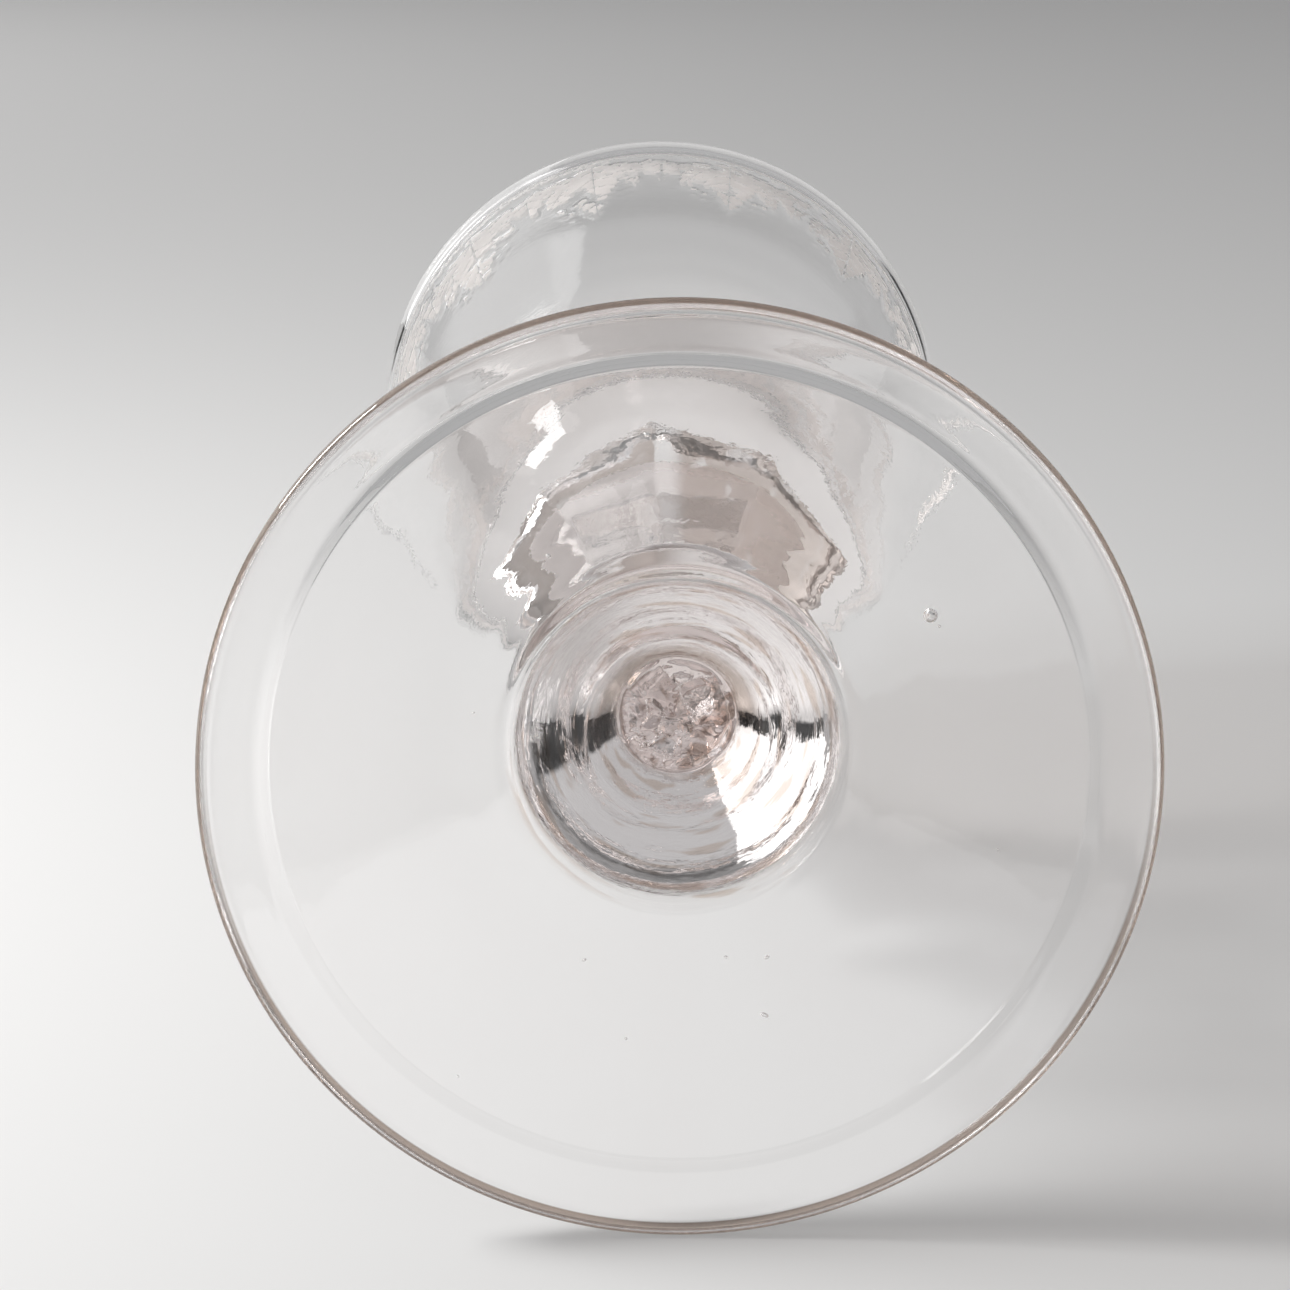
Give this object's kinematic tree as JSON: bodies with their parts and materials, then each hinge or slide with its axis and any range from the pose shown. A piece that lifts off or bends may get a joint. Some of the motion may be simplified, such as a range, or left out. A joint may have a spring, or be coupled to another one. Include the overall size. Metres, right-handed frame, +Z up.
{
  "type": "stemmed glass beaker",
  "caption": "Blown glass goblet: tall funnel bowl with a thick base, shouldered eight-sided stem over a ball knop, high conical foot with a folded rim.",
  "frame": {"origin": "centre of the foot's contact ring, on the plane that the glass stands on", "axes": "+Z up along the stem towards the rim; +Y lies 6.5 degrees from a corner of the eight-sided stem"},
  "size_m": [0.1, 0.1, 0.219],
  "materials": {
    "clear_glass": "fire-polished, colourless with a faint pinkish-grey cast, fine tool rings and seeds",
    "stem_glass": "fire-polished solid glass, faint pinkish-grey cast in the thickness",
    "broken_glass": "rough broken surface left by the pontil rod"
  },
  "bodies": {
    "root": {"bowl": "clear_glass", "bowl_merese": "stem_glass", "pedestal_stem": "stem_glass", "stem_merese": "stem_glass", "basal_knop": "stem_glass", "foot": "clear_glass", "pontil_scar": "broken_glass"}
  },
  "joints": []
}
